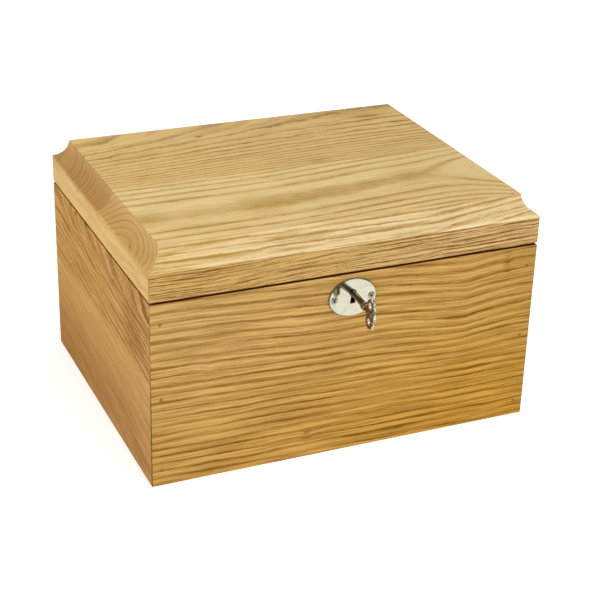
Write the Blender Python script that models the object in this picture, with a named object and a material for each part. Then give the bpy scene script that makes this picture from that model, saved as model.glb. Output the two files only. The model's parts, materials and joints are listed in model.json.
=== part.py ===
"""A lockable ash-wood money box: mitred walls, a coved lid on two hinges, and a box lock with its key.

Units are metres. +X is to the right along the front, +Y runs from the front to the back and +Z is up.
The origin is the centre of the underside, on the face that the box rests on.
"""

import math

import bmesh
import bpy
from mathutils import Matrix, Vector

# ---- The case ----
WIDTH = 0.300
DEPTH = 0.240
WALL = 0.015
BODY_HEIGHT = 0.1423
REBATE_WIDTH = 0.007
REBATE_HEIGHT = 0.0063
BOTTOM_THICKNESS = 0.006
ARRIS = 0.0005
JOINT_GAP = 0.0003
SEAT_GAP = 0.0001
MITRE_SETBACK = 0.0002

# ---- The lid ----
LID_GAP = 0.0012
RAIL_HEIGHT = 0.0198
BOARD_THICKNESS = 0.0164
NOSE_FLAT = 0.0003
NOSE_RADIUS = 0.0018
COVE_WIDTH = 0.011
COVE_RADIUS = 0.0173
NOSE_STEPS = 5
COVE_STEPS = 8

# ---- Pins through the corner joints ----
PIN_HEIGHTS = (0.0125, 0.0690, 0.1265)
PIN_FROM_CORNER = 0.0075
PIN_LENGTH = 0.025
PIN_RADIUS = 0.0007
PIN_HEAD_RADIUS = 0.0010
PIN_HEAD_LENGTH = 0.0009
PIN_CLEARANCE = 0.0002

# ---- Hinges ----
HINGE_FROM_MIDDLE = 0.095
HINGE_LENGTH = 0.040
LEAF_THICKNESS = 0.0012
LEAF_WIDTH = 0.0115
KNUCKLE_RADIUS = 0.0025
KNUCKLE_COUNT = 5
HINGE_PIN_RADIUS = 0.0010
HINGE_SCREW_SPACING = 0.024
HINGE_SCREW_INSET = 0.0062
HINGE_BUTTON_HEIGHT = 0.0012
HINGE_BUTTON_RADIUS = 0.0017
RUNNING_GAP = 0.0003

# ---- Lock ----
KEY_HEIGHT = 0.1280
KEY_DROOP = math.radians(5.5)
LOCK_DEPTH = 0.0097
LOCK_HALF_WIDTH = 0.0232
LOCK_HEIGHT = 0.0226
SHEET = 0.0012
SELVEDGE_HALF_LENGTH = 0.0315
SELVEDGE_WIDTH = 0.0115
SELVEDGE_THICKNESS = 0.0015
SELVEDGE_SCREW_X = 0.0275
SELVEDGE_SCREW_DEPTH = 0.0045
BOSS_RADIUS = 0.0024
LEDGE_START = 0.0088
LEDGE_THICKNESS = 0.0018
CAP_SCREW_X = 0.0190
CAP_SCREW_RISE = 0.0037
BOLT_FROM_CASE_FRONT = 0.0036
BOLT_TRAVEL = 0.004
BOLT_THICKNESS = 0.0024
BOLT_CLEARANCE = 0.0005
BOLT_STRUT = 0.0022
BOLT_FLOOR = 0.0019
FINGER_DEPTH = 0.0055
FINGER_THICKNESS = 0.0024
SPRING_SPACE = 0.0018
SPRING_MIDDLE = -0.0016
SPRING_HALF_LENGTH = 0.0052
SPRING_RISE = 0.0008
SPRING_THICKNESS = 0.0004
HOOK_X = 0.0135
HOOK_THICKNESS = 0.0018
HOOK_WIDTH = 0.0054
HOOK_DROP = 0.0105
HOOK_TAPER = 0.0012
HOOK_ROOM = 0.0008
EYE_WIDTH = 0.0034
STRIKE_HALF_LENGTH = 0.026
STRIKE_WIDTH = 0.0096
STRIKE_SCREW_X = 0.0215

# ---- Escutcheon and key ----
PLATE_HALF_WIDTH = 0.0183
PLATE_HALF_HEIGHT = 0.0144
PLATE_HEIGHT = 0.1242
PLATE_THICKNESS = 0.0012
PLATE_BEVEL = 0.0004
PLATE_SEGMENTS = 48
PLATE_SCREW_X = 0.0144
PLATE_SCREW_HEIGHT = 0.1239
STEM_RADIUS = 0.0023
STEM_CHAMFER = 0.0005
STEM_INSIDE = 0.0158
COLLAR_RADIUS = 0.0031
COLLAR_START = 0.0042
COLLAR_END = 0.0054
COLLAR_SLOPE = 0.0012
BIT_REACH = 0.0072
BIT_THICKNESS = 0.0022
BIT_START = 0.0090
BIT_END = 0.0141
WARD_WIDTH = 0.0010
WARD_DEPTH = 0.0024
BOW_CENTRE = 0.0298
BOW_SHOULDER = 0.0066
BOW_THICKNESS = 0.0032
# Each lobe of the bow is (distance out from its centre, height, radius).
BOW_CORE = (0, 0, 0.0050)
SIDE_LOBE = (-0.0004, 0.0058, 0.0052)
OUTER_LOBE = (0.0030, 0, 0.0039)
BOW_FOOT = (-0.0042, 0, 0.0028)
SIDE_HOLE_RADIUS = 0.0022
OUTER_HOLE_RADIUS = 0.0015
OUTER_HOLE_OFFSET = 0.0008

# ---- Screws, and the keyhole that each layer has: room is how far its slot reaches below the bit ----
HINGE_SCREW = {"head_radius": 0.0026, "radius": 0.0013, "length": 0.0105}
CAP_SCREW = {"head_radius": 0.0017, "radius": 0.0009, "length": 0.0058}
SELVEDGE_SCREW = {"head_radius": 0.0026, "radius": 0.0013, "length": 0.0120}
STRIKE_SCREW = {"head_radius": 0.0026, "radius": 0.0013, "length": 0.0105}
PLATE_SCREW = {"head_radius": 0.0025, "radius": 0.0011, "length": 0.0056}
WALL_KEYHOLE = {"clearance": 0.0014, "top_width": 0.0048, "bottom_width": 0.0050, "room": 0.0014}
PLATE_KEYHOLE = {"clearance": 0.0004, "top_width": 0.0030, "bottom_width": 0.0042, "room": 0.0011}
CASE_KEYHOLE = {"clearance": 0.0008, "top_width": 0.0036, "bottom_width": 0.0044, "room": 0.0006}
CAP_KEYHOLE_CLEARANCE = 0.0008

# ---- How the shapes are made ----
OVERRUN = 0.002
WELD = 0.0003
CREASE_DEG = 30

# ---- Heights and faces that follow from them ----
LID_BOTTOM = BODY_HEIGHT + LID_GAP
BOARD_BOTTOM = LID_BOTTOM + RAIL_HEIGHT + JOINT_GAP
LID_TOP = BOARD_BOTTOM + BOARD_THICKNESS
FRONT = -DEPTH / 2
BACK = DEPTH / 2
INNER_FRONT = FRONT + WALL
HINGE_AXIS = Vector((0, BACK + KNUCKLE_RADIUS + RUNNING_GAP, (BODY_HEIGHT + LID_BOTTOM) / 2))
PLATE_FACE = FRONT - SEAT_GAP - PLATE_THICKNESS
KEY_PIVOT = Vector((0, PLATE_FACE, KEY_HEIGHT))
CAP_BACK = INNER_FRONT - JOINT_GAP
CASE_FRONT = CAP_BACK - LOCK_DEPTH
CASE_BOTTOM = BODY_HEIGHT - LOCK_HEIGHT
CASE_TOP = BODY_HEIGHT - SELVEDGE_THICKNESS
SELVEDGE_FRONT = CASE_FRONT - SHEET
STRIKE_FRONT = CASE_FRONT - SHEET / 2
BOLT_FRONT = CASE_FRONT + BOLT_FROM_CASE_FRONT
BOLT_BACK = BOLT_FRONT + BOLT_THICKNESS
BOLT_MIDDLE = (BOLT_FRONT + BOLT_BACK) / 2


def key_axis_height(y):
    """The height of the key's axis at y: the key hangs a little nose-up in its keyhole."""
    return KEY_HEIGHT + (y - KEY_PIVOT.y) * math.tan(KEY_DROOP)


CAP_SCREW_Z = CASE_BOTTOM + CAP_SCREW_RISE
BOLT_AXIS_HEIGHT = key_axis_height(BOLT_MIDDLE)
LEDGE_TOP = BOLT_AXIS_HEIGHT - SEAT_GAP
FLOOR_BOTTOM = LEDGE_TOP + JOINT_GAP
FLOOR_TOP = FLOOR_BOTTOM + BOLT_FLOOR
BOLT_TOP = CASE_TOP - SPRING_SPACE
FINGER_HIGH = BODY_HEIGHT - FINGER_DEPTH
FINGER_LOW = FINGER_HIGH - FINGER_THICKNESS
NOTCH_TOP = BOLT_AXIS_HEIGHT + BIT_REACH + BOLT_CLEARANCE

COLOURS = {
    "ash_wood": ((0.62, 0.40, 0.18), 0.45, 0.0),
    "lid_ash": ((0.74, 0.53, 0.27), 0.42, 0.0),
    "plywood": ((0.60, 0.44, 0.26), 0.60, 0.0),
    "nickel": ((0.72, 0.70, 0.64), 0.18, 1.0),
    "steel": ((0.45, 0.44, 0.42), 0.35, 1.0),
    "key_metal": ((0.55, 0.47, 0.36), 0.22, 1.0),
}


def clear_scene():
    for obj in list(bpy.data.objects):
        bpy.data.objects.remove(obj)


def material(name):
    """A Principled material of this name, made once."""
    found = bpy.data.materials.get(name)
    if found:
        return found
    colour, roughness, metallic = COLOURS[name]
    made = bpy.data.materials.new(name)
    made.use_nodes = True
    shader = made.node_tree.nodes["Principled BSDF"]
    shader.inputs["Base Color"].default_value = (*colour, 1)
    shader.inputs["Roughness"].default_value = roughness
    shader.inputs["Metallic"].default_value = metallic
    return made


# ---- Shapes: each function adds one closed shape to a bmesh ----


def add_prism(bm, outline, low, high, place):
    """An outline of (u, v) points extruded from low to high; place turns (u, v, w) into a point."""
    rings = [[bm.verts.new(place(u, v, w)) for u, v in outline] for w in (low, high)]
    for ring in rings:
        bm.faces.new(ring)
    count = len(outline)
    for i in range(count):
        j = (i + 1) % count
        bm.faces.new((rings[0][i], rings[0][j], rings[1][j], rings[1][i]))


def along_x(u, v, w):
    """An outline in Y and Z, extruded along X."""
    return (w, u, v)


def along_y(u, v, w):
    """An outline in X and Z, extruded along Y."""
    return (u, w, v)


def along_z(u, v, w):
    """An outline in X and Y, extruded along Z."""
    return (u, v, w)


def add_block(bm, low, high):
    """A cuboid between two corners."""
    outline = [(low[0], low[1]), (high[0], low[1]), (high[0], high[1]), (low[0], high[1])]
    add_prism(bm, outline, low[2], high[2], along_z)


def add_turned(bm, profile, origin, axis, segments):
    """A profile of (radius, distance) points, its ends on the axis, turned about the axis."""
    axis = Vector(axis).normalized()
    side = axis.orthogonal().normalized()
    across = axis.cross(side)
    origin = Vector(origin)
    turns = [math.tau * i / segments for i in range(segments)]
    rings = []
    for radius, distance in profile:
        centre = origin + axis * distance
        spokes = [centre + (side * math.cos(t) + across * math.sin(t)) * radius for t in turns]
        points = spokes if radius else [centre]
        rings.append([bm.verts.new(point) for point in points])
    for low, high in zip(rings, rings[1:]):
        for i in range(segments):
            j = (i + 1) % segments
            lower = (low[i % len(low)], low[j % len(low)])
            upper = (high[j % len(high)], high[i % len(high)])
            bm.faces.new(dict.fromkeys(lower + upper))


def add_cylinder(bm, radius, start, end, segments):
    """A plain round bar from start to end."""
    axis = Vector(end) - Vector(start)
    profile = [(0, 0), (radius, 0), (radius, axis.length), (0, axis.length)]
    add_turned(bm, profile, start, axis, segments)


def circle(centre_u, centre_v, radius, count, start=0.0):
    """Points round a circle, anticlockwise from the start angle."""
    angles = [start + math.tau * i / count for i in range(count)]
    return [(centre_u + radius * math.cos(a), centre_v + radius * math.sin(a)) for a in angles]


def new_object(name, build, material_name=None, helper=False, origin=(0, 0, 0)):
    """An object from a function that adds shapes to a bmesh, with its origin at a given point."""
    bm = bmesh.new()
    build(bm)
    bmesh.ops.recalc_face_normals(bm, faces=bm.faces)
    bmesh.ops.translate(bm, verts=bm.verts, vec=-Vector(origin))
    mesh = bpy.data.meshes.new(name)
    bm.to_mesh(mesh)
    bm.free()
    mesh.shade_smooth()
    mesh.set_sharp_from_angle(angle=math.radians(CREASE_DEG))
    obj = bpy.data.objects.new(name, mesh)
    obj.location = origin
    bpy.context.scene.collection.objects.link(obj)
    if material_name:
        mesh.materials.append(material(material_name))
    if helper:
        obj.hide_render = True
        obj.display_type = "WIRE"
    return obj


def combine(target, operation, name, *builds, placement=None):
    """Cuts shapes from the target, or joins them to it, one Boolean for each build function."""
    for number, build in enumerate(builds):
        helper = new_object(f"{name}_{operation.lower()}_{number}", build, helper=True)
        if placement is not None:
            helper.matrix_world = placement
        modifier = target.modifiers.new(helper.name, "BOOLEAN")
        modifier.operation = operation
        modifier.object = helper
        modifier.solver = "EXACT"


# ---- Walls, bottom and lid woodwork ----


def add_mitred_board(bm, profile, length, turn):
    """A board whose (depth, height) profile runs along the outer face, its ends cut back at 45 degrees."""
    ends = []
    for side in (-1, 1):
        ring = []
        for depth, height in profile:
            half = length / 2 - depth - MITRE_SETBACK
            ring.append(bm.verts.new(turn @ Vector((side * half, depth, height))))
        bm.faces.new(ring)
        ends.append(ring)
    for i in range(len(profile)):
        j = (i + 1) % len(profile)
        bm.faces.new((ends[0][i], ends[0][j], ends[1][j], ends[1][i]))


def side_placement(side):
    """(length, transform) of the board on one side; the transform takes +Y to the way into the box."""
    turns = {"front": 0, "right": 90, "back": 180, "left": 270}
    across = WIDTH if side in ("front", "back") else DEPTH
    out = DEPTH / 2 if side in ("front", "back") else WIDTH / 2
    turn = Matrix.Rotation(math.radians(turns[side]), 4, "Z") @ Matrix.Translation((0, -out, 0))
    return across, turn


def make_wall(side):
    profile = [
        (ARRIS, 0),
        (WALL - REBATE_WIDTH, 0),
        (WALL - REBATE_WIDTH, REBATE_HEIGHT),
        (WALL, REBATE_HEIGHT),
        (WALL, BODY_HEIGHT),
        (ARRIS, BODY_HEIGHT),
        (0, BODY_HEIGHT - ARRIS),
        (0, ARRIS),
    ]
    placement = side_placement(side)
    return new_object(f"{side}_wall", lambda bm: add_mitred_board(bm, profile, *placement), "ash_wood")


def make_rail(side):
    top = LID_BOTTOM + RAIL_HEIGHT
    profile = [(ARRIS, LID_BOTTOM), (WALL, LID_BOTTOM), (WALL, top), (0, top), (0, LID_BOTTOM + ARRIS)]
    placement = side_placement(side)
    return new_object(f"lid_rail_{side}", lambda bm: add_mitred_board(bm, profile, *placement), "lid_ash")


def make_bottom():
    inset = WALL - REBATE_WIDTH + JOINT_GAP
    half_x = WIDTH / 2 - inset
    half_y = DEPTH / 2 - inset
    low = (-half_x, -half_y, 0)
    high = (half_x, half_y, BOTTOM_THICKNESS)
    return new_object("bottom_panel", lambda bm: add_block(bm, low, high), "plywood")


def arc(centre, radius, start_deg, end_deg, steps):
    """Points (u, v) along an arc, ends included."""
    angles = [math.radians(start_deg + (end_deg - start_deg) * i / steps) for i in range(steps + 1)]
    return [(centre[0] + radius * math.cos(a), centre[1] + radius * math.sin(a)) for a in angles]


def board_edge_profile():
    """(inset, height) points up the lid board's edge: a round nose, then a shallow cove to the top."""
    nose_start = BOARD_BOTTOM + NOSE_FLAT
    nose = arc((NOSE_RADIUS, nose_start), NOSE_RADIUS, 180, 90, NOSE_STEPS)
    low = Vector(nose[-1])
    high = Vector((COVE_WIDTH, LID_TOP))
    chord = high - low
    half_angle = math.degrees(math.asin(chord.length / 2 / COVE_RADIUS))
    out = Vector((-chord.y, chord.x)).normalized()
    centre = (low + high) / 2 + out * COVE_RADIUS * math.cos(math.radians(half_angle))
    middle = math.degrees(math.atan2(-out.y, -out.x))
    cove = arc(centre, COVE_RADIUS, middle - half_angle, middle + half_angle, COVE_STEPS)
    return [(0, BOARD_BOTTOM), *nose, *cove[1:]]


def add_lid_board(bm):
    """Rectangular rings up the edge profile, bridged into one solid."""
    rings = []
    for inset, height in board_edge_profile():
        half_x = WIDTH / 2 - inset
        half_y = DEPTH / 2 - inset
        corners = ((-half_x, -half_y), (half_x, -half_y), (half_x, half_y), (-half_x, half_y))
        rings.append([bm.verts.new((x, y, height)) for x, y in corners])
    bm.faces.new(rings[0])
    bm.faces.new(rings[-1])
    for low, high in zip(rings, rings[1:]):
        for i in range(4):
            j = (i + 1) % 4
            bm.faces.new((low[i], low[j], high[j], high[i]))


# ---- Fasteners ----


def add_pin(bm, head, direction, clearance=0.0):
    head_radius = PIN_HEAD_RADIUS + clearance
    radius = PIN_RADIUS + clearance
    start = head - direction * clearance
    profile = [
        (0, 0),
        (head_radius, 0),
        (head_radius, PIN_HEAD_LENGTH + 2 * clearance),
        (radius, PIN_HEAD_LENGTH + 2 * clearance),
        (radius, PIN_LENGTH + 2 * clearance),
        (0, PIN_LENGTH + 2 * clearance),
    ]
    add_turned(bm, profile, start, direction, 10)


def fit_pins(walls):
    """The pins through the corner joints, each with its hole in the two walls that it holds together."""
    edge = WIDTH / 2 - PIN_FROM_CORNER
    for face, y, inwards in (("front", FRONT, 1), ("back", BACK, -1)):
        direction = Vector((0, inwards, 0))
        for side, x in (("left", -edge), ("right", edge)):
            for level, z in zip(("low", "middle", "high"), PIN_HEIGHTS):
                name = f"pin_{face}_{side}_{level}"
                head = Vector((x, y, z))
                new_object(name, lambda bm: add_pin(bm, head, direction), "steel")
                bore = (head, direction, PIN_CLEARANCE)
                for wall in (walls[face], walls[side]):
                    combine(wall, "DIFFERENCE", f"{name}_in_{wall.name}", lambda bm: add_pin(bm, *bore))


def screw_profile(head_radius, radius, length, raised):
    """A countersunk screw from its head: (radius, distance) points, the raised dome outside its seat."""
    return [
        (0, -raised),
        (0.6 * head_radius, -0.8 * raised),
        (head_radius, 0),
        (radius, head_radius - radius),
        (radius, length - 2 * radius),
        (0, length),
    ]


def add_cross_recess(bm, head, direction, size, depth):
    """Two crossed slots to cut from a screw's head."""
    axis = Vector(direction).normalized()
    frame = axis.to_track_quat("Z", "Y").to_matrix().to_4x4()
    place = Matrix.Translation(head) @ frame
    thin = size * 0.28
    cross = [
        (thin, thin), (thin, size), (-thin, size), (-thin, thin), (-size, thin), (-size, -thin),
        (-thin, -thin), (-thin, -size), (thin, -size), (thin, -thin), (size, -thin), (size, thin),
    ]  # fmt: skip
    add_prism(bm, cross, -2 * depth, depth, lambda u, v, w: place @ Vector((u, v, w)))


def make_screw(name, head, direction, head_radius, radius, length, raised, material_name):
    direction = Vector(direction)
    profile = screw_profile(head_radius, radius, length, raised)
    recess = 0.55 * head_radius
    depth = 0.55 * recess
    screw = new_object(
        name, lambda bm: add_turned(bm, profile, head, direction, 16), material_name, origin=head
    )
    combine(screw, "DIFFERENCE", name, lambda bm: add_cross_recess(bm, head, direction, recess, depth))


def add_screw_hole(bm, head, direction, head_radius, radius, length):
    """The countersunk hole that a screw sits in, open past its head."""
    gap = JOINT_GAP * 0.7
    profile = [
        (0, -OVERRUN),
        (head_radius + gap, -OVERRUN),
        (head_radius + gap, 0),
        (radius + gap, head_radius - radius),
        (radius + gap, length + gap),
        (0, length + gap),
    ]
    add_turned(bm, profile, head, direction, 16)


def fit_screw(name, head, direction, raised, sizes, targets):
    """A screw and its hole in each target."""
    make_screw(name, head, direction, raised=raised, material_name="nickel", **sizes)
    for target in targets:
        hole = f"{name}_in_{target.name}"
        combine(target, "DIFFERENCE", hole, lambda bm: add_screw_hole(bm, head, direction, **sizes))


# ---- Hinges ----


def knuckle_span(number, centre_x):
    """The start and end in X of one knuckle."""
    pitch = HINGE_LENGTH / KNUCKLE_COUNT
    start = centre_x - HINGE_LENGTH / 2 + pitch * number
    return start + RUNNING_GAP / 2, start + pitch - RUNNING_GAP / 2


def on_hinge_axis(x):
    return (x, HINGE_AXIS.y, HINGE_AXIS.z)


def add_leaf_plate(bm, centre_x, z):
    low = (centre_x - HINGE_LENGTH / 2, BACK - LEAF_WIDTH, z)
    high = (centre_x + HINGE_LENGTH / 2, BACK - SEAT_GAP, z + LEAF_THICKNESS)
    add_block(bm, low, high)


def add_knuckle(bm, start, end):
    """One knuckle: a round barrel about the hinge's axis."""
    add_cylinder(bm, KNUCKLE_RADIUS, on_hinge_axis(start), on_hinge_axis(end), 20)


def add_tongue(bm, start, end, z):
    """The strip of leaf that reaches from its plate into one of its knuckles."""
    low = (start, BACK - LEAF_THICKNESS, z)
    add_block(bm, low, (end, HINGE_AXIS.y - LEAF_THICKNESS, z + LEAF_THICKNESS))


def make_leaf(name, centre_x, z, knuckles):
    """A hinge leaf at height z with its own knuckles, bored for the pin."""
    leaf = new_object(name, lambda bm: add_leaf_plate(bm, centre_x, z), "nickel")
    for number in knuckles:
        start, end = knuckle_span(number, centre_x)
        knuckle = f"{name}_{number}"
        combine(leaf, "UNION", knuckle, lambda bm: add_knuckle(bm, start, end))
        combine(leaf, "UNION", f"{knuckle}_tongue", lambda bm: add_tongue(bm, start, end, z))
    reach = HINGE_LENGTH / 2 + OVERRUN
    bore = HINGE_PIN_RADIUS + RUNNING_GAP
    bore_ends = (on_hinge_axis(centre_x - reach), on_hinge_axis(centre_x + reach))
    combine(leaf, "DIFFERENCE", name, lambda bm: add_cylinder(bm, bore, *bore_ends, 16))
    return leaf


def make_hinge_pin(name, centre_x):
    """The hinge pin with a button head at each end, outside the knuckles."""
    button = [
        (0, HINGE_BUTTON_HEIGHT),
        (0.7 * HINGE_BUTTON_RADIUS, HINGE_BUTTON_HEIGHT),
        (HINGE_BUTTON_RADIUS, 0.4 * HINGE_BUTTON_HEIGHT),
        (HINGE_BUTTON_RADIUS, 0),
        (HINGE_PIN_RADIUS, 0),
    ]
    near_end = [(radius, -distance) for radius, distance in button]
    far_end = [(radius, HINGE_LENGTH + distance) for radius, distance in reversed(button)]
    start = on_hinge_axis(centre_x - HINGE_LENGTH / 2)
    new_object(name, lambda bm: add_turned(bm, near_end + far_end, start, (1, 0, 0), 14), "nickel")


def cut_leaf_recess(wood, name, centre_x, low_z, high_z):
    """The shallow recess that a hinge leaf lies in, open at the back."""
    reach = HINGE_LENGTH / 2 + RUNNING_GAP
    low = (centre_x - reach, BACK - LEAF_WIDTH - RUNNING_GAP, low_z)
    high = (centre_x + reach, BACK + OVERRUN, high_z)
    combine(wood, "DIFFERENCE", name, lambda bm: add_block(bm, low, high))


def make_hinge(side, centre_x, back_wall, back_rail):
    """Both leaves, the pin and four screws, with their recesses cut in the wall and in the lid rail."""
    low_leaf_z = BODY_HEIGHT - LEAF_THICKNESS
    low_leaf = make_leaf(f"hinge_leaf_body_{side}", centre_x, low_leaf_z, (0, 2, 4))
    high_leaf = make_leaf(f"hinge_leaf_lid_{side}", centre_x, LID_BOTTOM, (1, 3))
    make_hinge_pin(f"hinge_pin_{side}", centre_x)
    recess = f"hinge_{side}_recess"
    cut_leaf_recess(back_wall, recess, centre_x, low_leaf_z - RUNNING_GAP, BODY_HEIGHT + OVERRUN)
    high_top = LID_BOTTOM + LEAF_THICKNESS + RUNNING_GAP
    cut_leaf_recess(back_rail, f"{recess}_lid", centre_x, LID_BOTTOM - OVERRUN, high_top)
    for end, sign in (("outer", -1), ("inner", 1)):
        x = centre_x + sign * HINGE_SCREW_SPACING / 2
        for part, z, direction, targets in (
            ("body", BODY_HEIGHT, (0, 0, -1), (low_leaf, back_wall)),
            ("lid", LID_BOTTOM, (0, 0, 1), (high_leaf, back_rail)),
        ):
            head = Vector((x, BACK - HINGE_SCREW_INSET, z))
            fit_screw(f"hinge_screw_{part}_{side}_{end}", head, direction, 0.0003, HINGE_SCREW, targets)


# ---- Lock ----


def keyhole_outline(centre_z, axis_z, clearance, top_width, bottom_width, room):
    """A round hole for the stem at centre_z, over a slot for the bit that widens downwards."""
    count = 16
    radius = STEM_RADIUS + clearance
    half_angle = math.asin(top_width / 2 / radius)
    start = -math.pi / 2 + half_angle
    sweep = math.tau - 2 * half_angle
    angles = [start + sweep * i / count for i in range(count + 1)]
    round_part = [(radius * math.cos(a), centre_z + radius * math.sin(a)) for a in angles]
    bottom = axis_z - BIT_REACH - room
    return [(bottom_width / 2, bottom), *round_part, (-bottom_width / 2, bottom)]


def cut_through_y(target, name, outline, low, high):
    """Cuts an outline in X and Z through the target, a little past both faces."""
    cutter = (low - OVERRUN, high + OVERRUN, along_y)
    combine(target, "DIFFERENCE", name, lambda bm: add_prism(bm, outline, *cutter))


def hook_y_range(width):
    return BOLT_MIDDLE - width / 2, BOLT_MIDDLE + width / 2


def add_hook_slot(bm, x):
    low, high = hook_y_range(HOOK_WIDTH + 2 * HOOK_ROOM)
    half = HOOK_THICKNESS / 2 + HOOK_ROOM
    add_block(bm, (x - half, low, CASE_TOP - OVERRUN), (x + half, high, BODY_HEIGHT + OVERRUN))


def add_case_block(bm):
    """The lock case's outer block, from its front sheet to just short of the cap."""
    low = (-LOCK_HALF_WIDTH, CASE_FRONT, CASE_BOTTOM)
    add_block(bm, low, (LOCK_HALF_WIDTH, CAP_BACK - SHEET - SEAT_GAP, CASE_TOP + WELD))


def add_case_hollow(bm):
    low = (-LOCK_HALF_WIDTH + SHEET, CASE_FRONT + SHEET, CASE_BOTTOM + SHEET)
    add_block(bm, low, (LOCK_HALF_WIDTH - SHEET, CAP_BACK + OVERRUN, CASE_TOP - SEAT_GAP))


def add_selvedge(bm):
    """The flange along the case's top edge, let into the top of the wall."""
    low = (-SELVEDGE_HALF_LENGTH, SELVEDGE_FRONT, CASE_TOP)
    add_block(bm, low, (SELVEDGE_HALF_LENGTH, SELVEDGE_FRONT + SELVEDGE_WIDTH, BODY_HEIGHT))


def add_boss(bm, side):
    """A round boss that takes a cap screw."""
    start = (side * CAP_SCREW_X, CASE_FRONT + SHEET - WELD, CAP_SCREW_Z)
    end = (side * CAP_SCREW_X, CAP_BACK - SHEET - JOINT_GAP, CAP_SCREW_Z)
    add_cylinder(bm, BOSS_RADIUS, start, end, 14)


def add_ledge(bm, side):
    """The ledge inside the case that the bolt slides on."""
    ends = sorted((side * LEDGE_START, side * (LOCK_HALF_WIDTH - SHEET + WELD)))
    low = (ends[0], CASE_FRONT + SHEET - WELD, LEDGE_TOP - LEDGE_THICKNESS)
    add_block(bm, low, (ends[1], BOLT_BACK, LEDGE_TOP))


def make_lock_case():
    case = new_object("lock_case", add_case_block, "steel")
    combine(case, "DIFFERENCE", "lock_hollow", add_case_hollow)
    combine(case, "UNION", "lock_selvedge", add_selvedge)
    for side in (-1, 1):
        combine(case, "UNION", f"lock_boss_{side}", lambda bm: add_boss(bm, side))
        combine(case, "UNION", f"lock_ledge_{side}", lambda bm: add_ledge(bm, side))
        combine(case, "DIFFERENCE", f"hook_slot_{side}", lambda bm: add_hook_slot(bm, side * HOOK_X))
    middle = key_axis_height(CASE_FRONT + SHEET / 2)
    outline = keyhole_outline(middle, BOLT_AXIS_HEIGHT, **CASE_KEYHOLE)
    cut_through_y(case, "case_keyhole", outline, CASE_FRONT, CASE_FRONT + SHEET)
    return case


def make_lock_cap():
    gap = JOINT_GAP
    low = (-LOCK_HALF_WIDTH + gap, CAP_BACK - SHEET, CASE_BOTTOM + gap)
    high = (LOCK_HALF_WIDTH - gap, CAP_BACK, CASE_TOP - gap)
    cap = new_object("lock_cap", lambda bm: add_block(bm, low, high), "nickel")
    hole = circle(0, key_axis_height(CAP_BACK - SHEET / 2), STEM_RADIUS + CAP_KEYHOLE_CLEARANCE, 20)
    cut_through_y(cap, "cap_keyhole", hole, CAP_BACK - SHEET, CAP_BACK)
    return cap


def bolt_outline():
    """The unlocked bolt in X and Z: two fingers towards the hooks, and a wide notch for the bit."""
    hook_face = HOOK_X - HOOK_THICKNESS / 2
    finger_tip = hook_face - BOLT_CLEARANCE
    block_edge = finger_tip - BOLT_TRAVEL
    post_start = hook_face + HOOK_THICKNESS + BOLT_CLEARANCE
    spacing = 2 * HOOK_X
    notch_left = -BIT_REACH - BOLT_TRAVEL / 4 - BOLT_CLEARANCE
    notch_right = BIT_REACH - 3 * BOLT_TRAVEL / 4 + BOLT_CLEARANCE
    left_end = block_edge - spacing - BOLT_STRUT
    right_end = post_start + BOLT_STRUT
    finger = [
        (block_edge, FLOOR_TOP),
        (block_edge, FINGER_LOW),
        (finger_tip, FINGER_LOW),
        (finger_tip, FINGER_HIGH),
        (block_edge, FINGER_HIGH),
        (block_edge, BOLT_TOP),
    ]
    left_finger = [(x - spacing, z) for x, z in finger]
    return [
        (left_end, FLOOR_BOTTOM),
        (notch_left, FLOOR_BOTTOM),
        (notch_left, NOTCH_TOP),
        (notch_right, NOTCH_TOP),
        (notch_right, FLOOR_BOTTOM),
        (right_end, FLOOR_BOTTOM),
        (right_end, BOLT_TOP),
        (post_start, BOLT_TOP),
        (post_start, FLOOR_TOP),
        *finger,
        (post_start - spacing, BOLT_TOP),
        (post_start - spacing, FLOOR_TOP),
        *left_finger,
        (left_end, BOLT_TOP),
    ]


def make_bolt():
    outline = bolt_outline()
    new_object("lock_bolt", lambda bm: add_prism(bm, outline, BOLT_FRONT, BOLT_BACK, along_y), "steel")


def make_bolt_spring():
    """A bowed strip on the bolt that rubs on the selvedge and holds the bolt where the key leaves it."""
    steps = 8
    base = BOLT_TOP + JOINT_GAP
    lower = []
    for i in range(steps + 1):
        x = SPRING_MIDDLE + SPRING_HALF_LENGTH * (2 * i / steps - 1)
        lower.append((x, base + SPRING_RISE * math.sin(math.pi * i / steps)))
    upper = [(x, z + SPRING_THICKNESS) for x, z in reversed(lower)]
    ends = (BOLT_FRONT + JOINT_GAP, BOLT_BACK - JOINT_GAP)
    new_object("bolt_spring", lambda bm: add_prism(bm, lower + upper, *ends, along_y), "nickel")


def add_hook(bm, x):
    """A hook's tab, tapered at its tip and welded into the strike plate."""
    low, high = hook_y_range(HOOK_WIDTH)
    half = HOOK_THICKNESS / 2
    bottom = LID_BOTTOM - HOOK_DROP
    top = LID_BOTTOM + WELD
    outline = [
        (low + HOOK_TAPER, bottom),
        (high - HOOK_TAPER, bottom),
        (high, bottom + HOOK_TAPER),
        (high, top),
        (low, top),
        (low, bottom + HOOK_TAPER),
    ]
    add_prism(bm, outline, x - half, x + half, along_x)


def add_eye(bm, x):
    """The window in a hook that a finger of the bolt enters."""
    low, high = hook_y_range(EYE_WIDTH)
    bottom = FINGER_LOW - BOLT_CLEARANCE
    add_block(bm, (x - OVERRUN, low, bottom), (x + OVERRUN, high, FINGER_HIGH + BOLT_CLEARANCE))


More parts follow.
